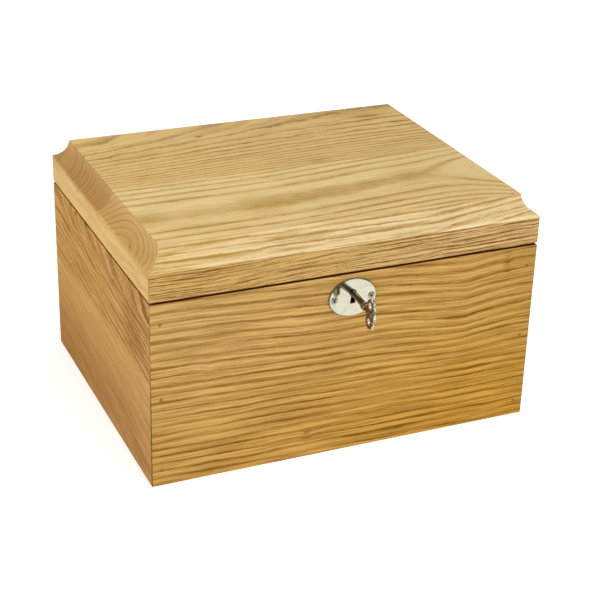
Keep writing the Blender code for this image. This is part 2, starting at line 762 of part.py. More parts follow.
def make_strike():
    """The plate under the lid with two hooks that drop into the lock."""
    low = (-STRIKE_HALF_LENGTH, STRIKE_FRONT, LID_BOTTOM)
    high = (STRIKE_HALF_LENGTH, STRIKE_FRONT + STRIKE_WIDTH, LID_BOTTOM + SELVEDGE_THICKNESS)
    strike = new_object("lid_strike", lambda bm: add_block(bm, low, high), "nickel")
    for side in (-1, 1):
        combine(strike, "UNION", f"hook_{side}", lambda bm: add_hook(bm, side * HOOK_X))
        combine(strike, "DIFFERENCE", f"eye_{side}", lambda bm: add_eye(bm, side * HOOK_X))
    return strike


def cut_lock_recesses(front_wall, front_rail):
    """The mortise, selvedge recess and keyhole in the wall, and the strike's recess in the lid."""
    gap = JOINT_GAP
    inside = INNER_FRONT + OVERRUN
    mortise_low = (-LOCK_HALF_WIDTH - gap, CASE_FRONT - gap, CASE_BOTTOM - gap)
    mortise = (mortise_low, (LOCK_HALF_WIDTH + gap, inside, BODY_HEIGHT + OVERRUN))
    recess_low = (-SELVEDGE_HALF_LENGTH - gap, SELVEDGE_FRONT - gap, CASE_TOP - gap)
    recess = (recess_low, (SELVEDGE_HALF_LENGTH + gap, inside, BODY_HEIGHT + OVERRUN))
    combine(front_wall, "DIFFERENCE", "mortise", lambda bm: add_block(bm, *mortise))
    combine(front_wall, "DIFFERENCE", "selvedge_recess", lambda bm: add_block(bm, *recess))
    middle = key_axis_height((FRONT + CASE_FRONT) / 2)
    outline = keyhole_outline(middle, KEY_HEIGHT, **WALL_KEYHOLE)
    cut_through_y(front_wall, "wall_keyhole", outline, FRONT, CASE_FRONT)
    strike_low = (-STRIKE_HALF_LENGTH - gap, STRIKE_FRONT - gap, LID_BOTTOM - OVERRUN)
    strike_top = LID_BOTTOM + SELVEDGE_THICKNESS + gap
    strike_high = (STRIKE_HALF_LENGTH + gap, STRIKE_FRONT + STRIKE_WIDTH + gap, strike_top)
    combine(front_rail, "DIFFERENCE", "strike_recess", lambda bm: add_block(bm, strike_low, strike_high))


# ---- Escutcheon ----


def oval_ring(bm, inset, y):
    """A ring of points round the plate's outline, drawn in by the inset."""
    half_width = PLATE_HALF_WIDTH - inset
    half_height = PLATE_HALF_HEIGHT - inset
    turns = [math.tau * i / PLATE_SEGMENTS for i in range(PLATE_SEGMENTS)]
    points = [(half_width * math.cos(t), y, PLATE_HEIGHT + half_height * math.sin(t)) for t in turns]
    return [bm.verts.new(point) for point in points]


def add_plate(bm):
    """An oval plate, its front edge bevelled."""
    levels = ((0, PLATE_FACE + PLATE_THICKNESS), (0, PLATE_FACE + PLATE_BEVEL), (PLATE_BEVEL, PLATE_FACE))
    rings = [oval_ring(bm, inset, y) for inset, y in levels]
    bm.faces.new(rings[0])
    bm.faces.new(rings[-1])
    for low, high in zip(rings, rings[1:]):
        for i in range(PLATE_SEGMENTS):
            j = (i + 1) % PLATE_SEGMENTS
            bm.faces.new((low[i], low[j], high[j], high[i]))


def make_escutcheon():
    plate = new_object("escutcheon_plate", add_plate, "nickel")
    outline = keyhole_outline(KEY_HEIGHT, KEY_HEIGHT, **PLATE_KEYHOLE)
    cut_through_y(plate, "plate_keyhole", outline, PLATE_FACE, PLATE_FACE + PLATE_THICKNESS)
    return plate


# ---- Key: built about its own axis, with +Y into the lock, then hung from its pivot ----


def lobed_outline(lobes, count):
    """The outline of several round lobes seen from the bow's centre, as (distance out, height) points."""
    points = []
    for i in range(count):
        angle = math.tau * i / count
        ray = Vector((math.cos(angle), math.sin(angle)))
        reach = 0.0
        for centre_u, centre_v, radius in lobes:
            centre = Vector((centre_u, centre_v))
            along = centre.dot(ray)
            inside = radius**2 - centre.length_squared + along**2
            if inside >= 0:
                reach = max(reach, along + math.sqrt(inside))
        points.append((BOW_CENTRE + ray.x * reach, ray.y * reach))
    return points


def along_bow(u, v, w):
    """A bow outline of (distance out, height) points, extruded across its thickness."""
    return (w, -u, v)


def add_bow(bm):
    """Three lobes and a foot round the bow's centre."""
    out, side, radius = SIDE_LOBE
    lobes = (BOW_CORE, SIDE_LOBE, (out, -side, radius), OUTER_LOBE, BOW_FOOT)
    half = BOW_THICKNESS / 2
    add_prism(bm, lobed_outline(lobes, 56), -half, half, along_bow)


def add_bow_holes(bm):
    """The hole through each lobe of the bow."""
    out, side, _ = SIDE_LOBE
    for u, v, radius in (
        (out, side, SIDE_HOLE_RADIUS),
        (out, -side, SIDE_HOLE_RADIUS),
        (OUTER_LOBE[0] + OUTER_HOLE_OFFSET, 0, OUTER_HOLE_RADIUS),
    ):
        add_prism(bm, circle(BOW_CENTRE + u, v, radius, 18), -BOW_THICKNESS, BOW_THICKNESS, along_bow)


def add_stem(bm):
    """The stem from the bow to its tip, with a turned collar under the bow."""
    shoulder = BOW_CENTRE - BOW_SHOULDER
    length = shoulder + STEM_INSIDE
    profile = [
        (0, 0),
        (0.6 * STEM_RADIUS, 0),
        (STEM_RADIUS, COLLAR_START - COLLAR_SLOPE),
        (COLLAR_RADIUS, COLLAR_START),
        (COLLAR_RADIUS, COLLAR_END),
        (STEM_RADIUS, COLLAR_END + COLLAR_SLOPE),
        (STEM_RADIUS, length - STEM_CHAMFER),
        (STEM_RADIUS - STEM_CHAMFER, length),
        (0, length),
    ]
    add_turned(bm, profile, (0, -shoulder, 0), (0, 1, 0), 20)


def add_bit(bm):
    half = BIT_THICKNESS / 2
    add_block(bm, (-half, BIT_START, -BIT_REACH), (half, BIT_END, 0))


def add_ward_cut(bm):
    """The slot in the end of the bit that passes the lock's ward."""
    start = (BIT_START + BIT_END - WARD_WIDTH) / 2
    low = (-BIT_THICKNESS, start, -BIT_REACH - OVERRUN)
    add_block(bm, low, (BIT_THICKNESS, start + WARD_WIDTH, -BIT_REACH + WARD_DEPTH))


def make_key():
    hang = Matrix.Translation(KEY_PIVOT) @ Matrix.Rotation(KEY_DROOP, 4, "X")
    key = new_object("key", add_stem, "key_metal")
    key.matrix_world = hang
    combine(key, "UNION", "key", add_bow, add_bit, placement=hang)
    combine(key, "DIFFERENCE", "key", add_ward_cut, add_bow_holes, placement=hang)


# ---- The whole box ----


def fit_metalwork(wall, rail):
    """The lock, its strike and the escutcheon, with a pair of screws for each."""
    case = make_lock_case()
    cap = make_lock_cap()
    make_bolt()
    make_bolt_spring()
    strike = make_strike()
    plate = make_escutcheon()
    selvedge_y = CASE_FRONT + SELVEDGE_SCREW_DEPTH
    strike_y = STRIKE_FRONT + STRIKE_WIDTH / 2
    for side, sign in (("left", -1), ("right", 1)):
        head = Vector((sign * SELVEDGE_SCREW_X, selvedge_y, BODY_HEIGHT))
        fit_screw(f"lock_screw_{side}", head, (0, 0, -1), 0.0002, SELVEDGE_SCREW, (case, wall))
        head = Vector((sign * CAP_SCREW_X, CAP_BACK, CAP_SCREW_Z))
        fit_screw(f"lock_cap_screw_{side}", head, (0, -1, 0), 0.0001, CAP_SCREW, (cap, case))
        head = Vector((sign * STRIKE_SCREW_X, strike_y, LID_BOTTOM))
        fit_screw(f"strike_screw_{side}", head, (0, 0, 1), 0.0002, STRIKE_SCREW, (strike, rail))
        head = Vector((sign * PLATE_SCREW_X, PLATE_FACE, PLATE_SCREW_HEIGHT))
        fit_screw(f"escutcheon_screw_{side}", head, (0, 1, 0), 0.0006, PLATE_SCREW, (plate, wall))


def main():
    clear_scene()
    walls = {side: make_wall(side) for side in ("front", "right", "back", "left")}
    rails = {side: make_rail(side) for side in ("front", "right", "back", "left")}
    make_bottom()
    new_object("lid_board", add_lid_board, "lid_ash")
    fit_pins(walls)
    for side, x in (("left", -HINGE_FROM_MIDDLE), ("right", HINGE_FROM_MIDDLE)):
        make_hinge(side, x, walls["back"], rails["back"])
    cut_lock_recesses(walls["front"], rails["front"])
    fit_metalwork(walls["front"], rails["front"])
    make_key()


main()
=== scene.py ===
"""How the ash-wood money box looks: solid wood grain, polished fittings, a cast key and a plain studio.

Shapes are in metres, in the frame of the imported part. Grain and marks are in millimetres, in the same frame.
"""

import json
import math
from dataclasses import dataclass

import bmesh
import bpy
from mathutils import Matrix, Vector


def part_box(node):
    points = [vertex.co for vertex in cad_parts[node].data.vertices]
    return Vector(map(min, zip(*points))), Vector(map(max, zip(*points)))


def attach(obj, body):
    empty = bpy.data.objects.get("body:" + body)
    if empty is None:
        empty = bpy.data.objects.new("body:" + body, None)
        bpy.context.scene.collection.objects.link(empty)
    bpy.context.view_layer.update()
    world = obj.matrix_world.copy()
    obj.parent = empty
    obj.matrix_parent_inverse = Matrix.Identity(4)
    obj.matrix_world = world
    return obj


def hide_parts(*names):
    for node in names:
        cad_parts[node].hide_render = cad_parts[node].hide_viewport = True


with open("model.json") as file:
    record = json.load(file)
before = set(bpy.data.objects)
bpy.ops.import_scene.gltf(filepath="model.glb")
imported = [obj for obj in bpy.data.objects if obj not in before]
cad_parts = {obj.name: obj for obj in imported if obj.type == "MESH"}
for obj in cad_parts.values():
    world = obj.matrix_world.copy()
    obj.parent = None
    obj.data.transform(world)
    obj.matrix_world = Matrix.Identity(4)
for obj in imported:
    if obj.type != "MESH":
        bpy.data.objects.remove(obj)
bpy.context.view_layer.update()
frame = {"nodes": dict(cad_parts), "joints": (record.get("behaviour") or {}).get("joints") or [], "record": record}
NODES = frame["nodes"]

# ---- Camera, in the photograph's viewing direction ----
CAMERA_AZIMUTH = math.radians(-24.2)
CAMERA_ELEVATION = math.radians(25.64)
CAMERA_ROLL = math.radians(1.73)
CAMERA_DISTANCE = 1.1955
CAMERA_TARGET = Vector((0.0137, 0, 0.0652))
CAMERA_LENS = 90.7

# ---- The box, in millimetres, for laying out grain and marks ----
HALF_LENGTH = 150
HALF_DEPTH = 120
BOARD_TOP = 180
GAP_HEIGHT = 142.9
FACE_HALF_LENGTH = 149
FACE_HALF_DEPTH = 119
COVE_EDGE_X = 139
COVE_EDGE_Y = -109


# ---- Shader arithmetic ----


def feed(tree, socket, value):
    """Gives a number socket a shader number or a plain one."""
    if isinstance(value, Num):
        tree.links.new(value.socket, socket)
    else:
        socket.default_value = value


class Num:
    """A number inside a shader. Arithmetic on it adds Math nodes."""

    def __init__(self, tree, socket):
        self.tree = tree
        self.socket = socket

    def maths(self, operation, *others):
        node = self.tree.nodes.new("ShaderNodeMath")
        node.operation = operation
        for socket, value in zip(node.inputs, (self, *others)):
            feed(self.tree, socket, value)
        return Num(self.tree, node.outputs[0])

    def __add__(self, other):
        return self.maths("ADD", other)

    __radd__ = __add__

    def __sub__(self, other):
        return self.maths("SUBTRACT", other)

    def __rsub__(self, other):
        return self.maths("MULTIPLY_ADD", -1.0, other)

    def __mul__(self, other):
        return self.maths("MULTIPLY", other)

    __rmul__ = __mul__

    def __truediv__(self, other):
        return self.maths("DIVIDE", other)

    def __pow__(self, other):
        return self.maths("POWER", other)

    def root(self):
        return self.maths("SQRT")

    def size(self):
        return self.maths("ABSOLUTE")

    def part(self):
        """What is left above the whole number."""
        return self.maths("FRACT")

    def at_least(self, other):
        return self.maths("MAXIMUM", other)

    def at_most(self, other):
        return self.maths("MINIMUM", other)

    def exp(self):
        return self.maths("EXPONENT")

    def rise(self, low, high):
        """A smooth step from 0 at low to 1 at high."""
        node = self.tree.nodes.new("ShaderNodeMapRange")
        node.interpolation_type = "SMOOTHSTEP"
        for name, value in (("Value", self), ("From Min", low), ("From Max", high)):
            feed(self.tree, node.inputs[name], value)
        return Num(self.tree, node.outputs["Result"])

    def fall(self, low, high):
        """A smooth step from 1 at low to 0 at high."""
        return 1 - self.rise(low, high)


def length_of(*parts):
    """The length of a vector with these parts."""
    total = parts[0] * parts[0]
    for part in parts[1:]:
        total = total + part * part
    return total.root()


def blend_numbers(low, high, share):
    """low where share is 0, high where it is 1."""
    return low + (high - low) * share


class Point:
    """The place being shaded, in millimetres in the object's own frame, and the noise round it."""

    def __init__(self, tree):
        self.tree = tree
        self.coordinates = tree.nodes.new("ShaderNodeTexCoord")
        split = tree.nodes.new("ShaderNodeSeparateXYZ")
        tree.links.new(self.coordinates.outputs["Object"], split.inputs[0])
        self.x, self.y, self.z = (Num(tree, out) * 1000 for out in split.outputs)

    def facing(self, axis):
        """How squarely the surface faces along an axis, in the object's own frame: 0 to 1."""
        split = self.tree.nodes.new("ShaderNodeSeparateXYZ")
        self.tree.links.new(self.coordinates.outputs["Normal"], split.inputs[0])
        return Num(self.tree, split.outputs["XYZ".index(axis)]).size()

    def noise(self, wavelengths, detail=2.0, roughness=0.5, seed=0.0):
        """Noise from 0 to 1 whose features are this many millimetres long in X, Y and Z."""
        pairs = zip((self.x, self.y, self.z), wavelengths)
        scaled = [number * (1 / wavelength) for number, wavelength in pairs]
        return noise_of(self.tree, scaled, detail, roughness, seed)


def noise_of(tree, numbers, detail=2.0, roughness=0.5, seed=0.0):
    """Noise from 0 to 1 at a point given by three numbers. Its features are about one unit long."""
    joined = tree.nodes.new("ShaderNodeCombineXYZ")
    for socket, number in zip(joined.inputs, numbers):
        feed(tree, socket, number)
    texture = tree.nodes.new("ShaderNodeTexNoise")
    texture.noise_dimensions = "4D"
    texture.inputs["Scale"].default_value = 1.0
    texture.inputs["Detail"].default_value = detail
    texture.inputs["Roughness"].default_value = roughness
    texture.inputs["W"].default_value = seed
    tree.links.new(joined.outputs[0], texture.inputs["Vector"])
    return Num(tree, texture.outputs[0])


def mix_colours(tree, share, low, high):
    """A colour between low and high; each is a colour output or an (r, g, b) constant."""
    node = tree.nodes.new("ShaderNodeMix")
    node.data_type = "RGBA"
    tree.links.new(share.socket, node.inputs["Factor"])
    for socket, value in ((node.inputs[6], low), (node.inputs[7], high)):
        if isinstance(value, tuple):
            socket.default_value = (*value, 1)
        else:
            tree.links.new(value, socket)
    return node.outputs[2]


def brighten(tree, colour, factor):
    """A colour times a number."""
    node = tree.nodes.new("ShaderNodeVectorMath")
    node.operation = "SCALE"
    tree.links.new(colour, node.inputs[0])
    tree.links.new(factor.socket, node.inputs["Scale"])
    return node.outputs[0]


def new_material(name):
    """(material, node tree, its Principled shader)."""
    made = bpy.data.materials.new(name)
    made.use_nodes = True
    return made, made.node_tree, made.node_tree.nodes["Principled BSDF"]


def add_bump(tree, shader, height, distance, strength=1.0):
    """Bump from a height of 0 to 1 that stands for this many metres."""
    bump = tree.nodes.new("ShaderNodeBump")
    bump.inputs["Distance"].default_value = distance
    bump.inputs["Strength"].default_value = strength
    tree.links.new(height.socket, bump.inputs["Height"])
    tree.links.new(bump.outputs[0], shader.inputs["Normal"])


# ---- Wood: the growth rings in each board, its colours and its marks ----


@dataclass
class Figure:
    """How the wood looks at a place. Whole numbers of rings are where dark early wood starts."""

    rings: Num
    light: object
    dark: object
    line_width: object = 0.4
    lead_in: float = 0.5
    contrast: object = 0.8
    streaks: object = 0.4
    ragged: float = 0.15
    marks: object = 0.0
    tone: object = 1.0


def bump_at(distance, width):
    """1 where the distance is 0, and next to nothing two widths away."""
    scaled = distance * (1 / width)
    return (scaled * scaled * -1).exp()


def spot(p, centre, widths):
    """A soft round spot on a board: 1 at its centre. A width of None leaves that direction out."""
    pairs = zip((p.x, p.y, p.z), centre, widths)
    shares = [bump_at(number - middle, width) for number, middle, width in pairs if width]
    total = shares[0]
    for share in shares[1:]:
        total = total * share
    return total


def swing(noise_value, reach):
    """Noise as a swing of this much either way."""
    return (noise_value - 0.5) * (2 * reach)


FRONT_STAVE_LIGHT = (0.800, 0.600, 0.272)
FRONT_STAVE_DARK = (0.445, 0.255, 0.052)
BACK_STAVE_LIGHT = (0.770, 0.525, 0.195)
BACK_STAVE_DARK = (0.370, 0.195, 0.045)
COVE_LIGHT_LEFT = (0.730, 0.540, 0.245)
COVE_LIGHT_RIGHT = (0.785, 0.605, 0.325)
FRONT_END_LIGHT = (0.640, 0.388, 0.125)
FRONT_END_DARK = (0.360, 0.170, 0.030)
BACK_END_LIGHT = (0.525, 0.283, 0.079)
BACK_END_DARK = (0.330, 0.150, 0.030)
STAVE_JOINT = -4.0
MITRE_SLOPE_OFFSET = HALF_LENGTH - HALF_DEPTH
MITRE_BLUR = 0.4

# The front stave: where its pith is, how flat its rings are, and the ring whose top opens in a V.
FRONT_PITH_Y = -63.5
FRONT_PITH_DEPTH = 42.1
FRONT_RING_SQUASH = 1.3
FRONT_RING_PITCH = 4.3
V_RING_RADIUS = 41.8
V_POINT = 83

# The back stave: where its pith is, and how its ring spacing grows with the radius.
BACK_PITH_Y = 110
BACK_PITH_DEPTH = 57
BACK_PITH_RISE = 31
BACK_LEAN_Y = 92
BACK_RING_RADIUS = 34

# The lines along the front cove: the height of one of them at the left end, and their spacing.
COVE_RING_HEIGHT = 172.8
COVE_RING_PITCH = 4.2


def front_stave_rings(p):
    """The pith runs under the middle of the stave and rises at its right end, where a ring opens in a V."""
    middle = p.x.rise(-60, 105) * 12 - p.x.rise(108, 150) * 5 + FRONT_PITH_Y
    past_opening = (p.x - V_POINT).at_least(0)
    depth = FRONT_PITH_DEPTH - past_opening * past_opening * 0.0022
    waver = swing(p.noise((70, 50, 50), 1, seed=31), 1.2)
    across = (p.y - middle + waver) * (1 / FRONT_RING_SQUASH)
    radius = length_of(across, p.z - (BOARD_TOP - depth))
    return (radius - V_RING_RADIUS) * (1 / FRONT_RING_PITCH)


def front_cove(p):
    """1 in the cove along the front of the lid board, 0 elsewhere."""
    nearer_front = (p.y.size() - p.x.size() + MITRE_SLOPE_OFFSET).rise(-MITRE_BLUR, MITRE_BLUR)
    return p.y.fall(COVE_EDGE_Y - 0.2, COVE_EDGE_Y + 0.8) * nearer_front


def side_cove(p):
    """1 in the coves along the two ends of the lid board, where its end grain shows, 0 elsewhere."""
    nearer_side = (p.x.size() - p.y.size() - MITRE_SLOPE_OFFSET).rise(-MITRE_BLUR, MITRE_BLUR)
    return p.x.size().rise(COVE_EDGE_X - 0.6, COVE_EDGE_X - 0.3) * nearer_side


def cove_rings(p):
    """Straight lines along the front cove, which climb towards its right end."""
    climb = p.x.rise(55, 160) * 7
    wave = swing(p.noise((60, 30, 20), 2, seed=35), 1.2)
    return (p.z - COVE_RING_HEIGHT - climb + wave) * (1 / COVE_RING_PITCH)


def back_stave_rings(p):
    """The pith lies low behind the stave and rises towards the left end, so lines climb to the right."""
    lean = (BACK_LEAN_Y - p.y).at_least(6) ** -1 * 10
    surface_y = p.y + lean * (BOARD_TOP - p.z)
    from_right = ((COVE_EDGE_X - p.x) * (0.5 / COVE_EDGE_X)).at_least(0)
    depth = BACK_PITH_DEPTH - from_right ** 2.2 * BACK_PITH_RISE
    near_back = p.y.rise(25, 75)
    waver = swing(p.noise((26, 22, 60), 3, 0.55, seed=33), 5.5) * near_back
    waver = waver + swing(p.noise((34, 9, 60), 2, seed=34), 1.6)
    out = length_of(surface_y - BACK_PITH_Y + waver, depth) - BACK_RING_RADIUS
    return out * 0.0622 + out * out * 0.001134 + 40


def board_colours(p, front, edge, end):
    """(light, dark) colours of the lid board: on its faces and front cove, and on its end grain."""
    cove_light = mix_colours(p.tree, p.x.rise(-150, -40), COVE_LIGHT_LEFT, COVE_LIGHT_RIGHT)
    front_light = mix_colours(p.tree, edge, FRONT_STAVE_LIGHT, cove_light)
    face_light = mix_colours(p.tree, front, BACK_STAVE_LIGHT, front_light)
    face_dark = mix_colours(p.tree, front, BACK_STAVE_DARK, FRONT_STAVE_DARK)
    end_light = mix_colours(p.tree, front, BACK_END_LIGHT, FRONT_END_LIGHT)
    end_dark = mix_colours(p.tree, front, BACK_END_DARK, FRONT_END_DARK)
    return mix_colours(p.tree, end, face_light, end_light), mix_colours(p.tree, end, face_dark, end_dark)


def board_stains(p, front, edge, end):
    """Darker places on the lid board that no ring makes, less the one paler corner."""
    smudge = spot(p, (27, 3, 0), (9, 6, None)) * 0.35 * (1 - front)
    toward_front = p.y.fall(-80, -52) * (1 - edge) * (1 - end) * 0.13
    cove_foot = edge * p.z.fall(166.3, 169.5) * p.x.fall(-115, -45) * 0.34
    clear_corner = spot(p, (-112, 107, 0), (28, 9, None)) * 0.34
    return smudge + toward_front + cove_foot - clear_corner


def board_contrast(p, front, edge, end, inside_v):
    """How strongly rings show on the lid board: faintly by its joint and its pith, and not inside the V."""
    core = spot(p, (0, -60, 0), (None, 9, None)) * front
    faint = p.y.fall(8, 42) * 0.12 * (1 - front)
    plain = faint + inside_v
    on_top = (1 - plain) * (1 - end * 0.3) * (1 - core * 0.35) * (1.05 - front * 0.13)
    return on_top + edge * (p.x.rise(20, 110) * 0.65 + 0.45)


def top_figure(p):
    """The lid board: two staves glued edge to edge, the back one browner."""
    front = p.y.fall(STAVE_JOINT - 0.3, STAVE_JOINT + 0.3)
    edge = front_cove(p)
    steep_or_low = p.facing("X").rise(0.1, 0.4).at_least(p.z.fall(167, 168))
    end = side_cove(p) * steep_or_low
    front_rings = blend_numbers(front_stave_rings(p), cove_rings(p), edge)
    rings = blend_numbers(back_stave_rings(p), front_rings, front)
    inside_v = p.x.rise(70, 100) * rings.fall(-0.4, -0.1) * front
    fleck = spot(p, (-41, 83, 0), (3.5, 1.2, None)) * 1.3
    knot = spot(p, (109, 85, 0), (12, 1.8, None)) * 1.1
    # Painted highlight along the rounded nose under the front cove: paler wood and brighter tone there.
    nose_highlight = p.y.fall(-118.2, -117.6) * p.z.rise(163.9, 164.5) * edge
    light, dark = board_colours(p, front, edge, end)
    return Figure(
        rings,
        light,
        dark,
        line_width=p.y.fall(40, 80) * 0.14 + front * 0.02 + 0.20,
        lead_in=0.35,
        contrast=board_contrast(p, front, edge, end, inside_v),
        streaks=front * -0.16 + edge * 0.50 - inside_v * 0.14 + 0.38,
        ragged=0.22,
        marks=fleck + knot + board_stains(p, front, edge, end) - nose_highlight * 0.5,
        tone=p.x.rise(-140, 40) * -0.08 - edge * 0.06 - (fleck + knot) * 0.3 + nose_highlight * 0.10 + 1.07,
    )


# How far rings climb for each millimetre through a wall's thickness.
THROUGH_SLOPE = 0.8

# The dip in the front wall's lines: where it is, how deep, how far it reaches each way, and how blunt it is.
DIP_X = 92
DIP_DEPTH = 4.6
DIP_REACH_LEFT = 35
DIP_REACH_RIGHT = 18
DIP_BLUNTNESS = 0.4


def front_figure(p):
    """Lines that sink to the right into a dip near the right end, then climb out of it."""
    upper = p.z.rise(25, 100)
    rightward = p.x.rise(-FACE_HALF_LENGTH, FACE_HALF_LENGTH)
    before = (DIP_X - p.x).at_least(0) * (1 / DIP_REACH_LEFT)
    beyond = (p.x - DIP_X).at_least(0) * (1 / DIP_REACH_RIGHT)
    dip = ((length_of(before + beyond, DIP_BLUNTNESS) - DIP_BLUNTNESS) * -1).exp() * DIP_DEPTH
    slope = p.x.rise(-FACE_HALF_LENGTH, 10) * 6 + p.x.rise(20, 90) * 2.5
    small_dip = spot(p, (-107, 0, 86), (5, None, 8)) * 1.3
    knot = spot(p, (-32, 0, 18), (3.5, None, 3.5))
    swirl = spot(p, (126, 0, 132), (3, None, 8))
    slow_wave = swing(p.noise((60, 60, 28), 2, seed=7), 2.0)
    quick_wave = swing(p.noise((22, 16, 7), 2, seed=8), 0.8)
    height = p.z + (dip + slope) * upper + rightward * 3 * (1 - upper)
    through = (p.y + HALF_DEPTH) * THROUGH_SLOPE
    height = height + through + small_dip + slow_wave + quick_wave + swirl + knot * 2
    amber = rightward * 0.5 + p.z.fall(10, 130) * 0.5
    return Figure(
        height * 0.176 - height * height * 0.00015,
        mix_colours(p.tree, amber, (0.655, 0.413, 0.150), (0.560, 0.314, 0.051)),
        (0.180, 0.068, 0.001),
        line_width=0.42,
        lead_in=0.8,
        contrast=0.55,
        streaks=amber * 0.12 + 0.29,
        ragged=0.11,
        marks=knot * 0.30 + swirl * 0.25 + 0.15,
        tone=p.x.rise(40, FACE_HALF_LENGTH) * p.z.rise(30, 130) * -0.09 + 1.02,
    )


# Above this height the left wall's lines spread out, to this much in all.
ARCH_HEIGHT = 122
ARCH_SPREAD = 8


def left_figure(p):
    """A flat-sawn board: hooked cathedral lines near its top, and almost plain wood below."""
    above = (p.z - ARCH_HEIGHT).at_least(0)
    flattened = p.z.at_most(ARCH_HEIGHT) + (1 - (above * (-1 / ARCH_SPREAD)).exp()) * ARCH_SPREAD
    wave = swing(p.noise((40, 45, 16), 2, seed=11), 3.5) + swing(p.noise((15, 18, 7), 2, seed=12), 0.8)
    upper = p.z.rise(74, 92)
    smoky = spot(p, (0, -80, 104), (None, 26, 24)) * 0.22
    pale_band = spot(p, (0, -60, 77), (None, 120, 5)) * -0.09
    lower = p.z.fall(20, 82) * 0.38 + p.z.fall(0, 60) * p.y.rise(-60, 110) * 0.10
    near_front = p.y.fall(-100, -20)
    backward = p.y.rise(-FACE_HALF_DEPTH, FACE_HALF_DEPTH)
    through = (p.x + HALF_LENGTH) * THROUGH_SLOPE
    return Figure(
        (flattened - p.y * 0.14 + through + wave) * (1 / 6.3),
        mix_colours(p.tree, backward, (0.590, 0.335, 0.095), (0.580, 0.320, 0.060)),
        (0.240, 0.076, 0.002),
        line_width=0.45,
        lead_in=0.6,
        contrast=upper * (near_front * 0.14 + 0.27) + 0.03,
        streaks=upper * 0.36 + near_front * 0.10 + 0.22,
        marks=smoky + pale_band + lower + upper * 0.10 + 0.04,
    )


def long_rail_figure(p):
    """Narrow straight rings that dip a little towards the left."""
    sag = bump_at(p.x + 95, 45) * 2.5
    wave = swing(p.noise((55, 30, 12), 2, seed=13), 2.0)
    height = p.z - p.x * 0.022 + p.y * 0.3 + sag + wave
    blotch = p.noise((30, 24, 6), 2, seed=14).rise(0.45, 0.7) * 0.2
    return Figure(
        height * (1 / 3.0),
        mix_colours(p.tree, p.x.rise(-120, 120), (0.610, 0.385, 0.125), (0.620, 0.405, 0.170)),
        (0.170, 0.068, 0.010),
        line_width=0.50,
        lead_in=0.6,
        contrast=bump_at(p.x + 125, 40) * 0.36 + p.x.rise(-20, 60) * 0.34 + 0.46,
        streaks=0.76,
        ragged=0.3,
        marks=blotch,
    )


def short_rail_figure(p):
    """Pale, almost plain wood with faint mottling."""
    wave = swing(p.noise((30, 60, 14), 2, seed=17), 4)
    return Figure(
        (p.z * 0.4 + p.x + wave) * (1 / 5.0),
        (0.710, 0.465, 0.165),
        (0.520, 0.300, 0.075),
        line_width=0.7,
        contrast=0.26,
        streaks=0.42,
    )


def plywood_figure(p):
    """Rotary-cut face veneer: broad, wandering lines."""
    wave = swing(p.noise((150, 60, 60), 2, seed=19), 9)
    return Figure(
        (p.y + wave) * (1 / 16.0),
        (0.640, 0.430, 0.190),
        (0.430, 0.250, 0.085),
        line_width=0.8,
        contrast=0.5,
        streaks=0.3,
    )


def mitre_line(p):
    """The thin dark glue line where two walls meet, 1 on it. It opens a little towards the bottom."""
    off = ((HALF_LENGTH - p.x.size()) - (HALF_DEPTH - p.y.size())).size()
    open_share = p.z.fall(50, 110) * 0.58 + 0.02
    return off.fall(0.3, 0.9) * open_share


def gap_shade(p):
    """Painted shade on the two faces that meet when the lid shuts, along their outer edges; less on the left."""
    at_gap = (p.z - GAP_HEIGHT).size().fall(0.65, 1.1)
    inside = (HALF_LENGTH - p.x.size()).at_most(HALF_DEPTH - p.y.size())
    off_left_face = p.x.rise(0.5 - HALF_LENGTH, 3 - HALF_LENGTH)
    return at_gap * inside.fall(1.2, 3.2) * (off_left_face * 0.55 + 0.45)


def lock_hole_shade(p):
    """Painted shade on the sides of the hole bored for the key behind its plate."""
    across = spot(p, (0, 0, 125), (9, None, 12)).rise(0.3, 0.5)
    return across * p.y.rise(0.1 - HALF_DEPTH, 1 - HALF_DEPTH) * p.y.fall(-112, -108)


# ---- Wood: the surface that a figure gives ----

# Dark red-brown for the mitres' glue lines, and for painted shade in the lid gap and in the key's hole.
GLUE_AND_SHADE = (0.080, 0.006, 0.002)

# (length along the grain, width across it) of what shows in every board.
RAGGED_SIZE = (11, 1.1)
PORE_SIZE = (4.5, 0.33)
FIBRE_SIZE = (26, 0.7)
PATCH_SIZE = (90, 20)

# (length along the grain, how many to a ring) of what follows the rings.
LINE_STRENGTH = (85, 0.9)
BROAD_STREAK = (70, 4.0)
THIN_STREAK = (30, 9.0)
GRAIN_BUMP = 0.00006


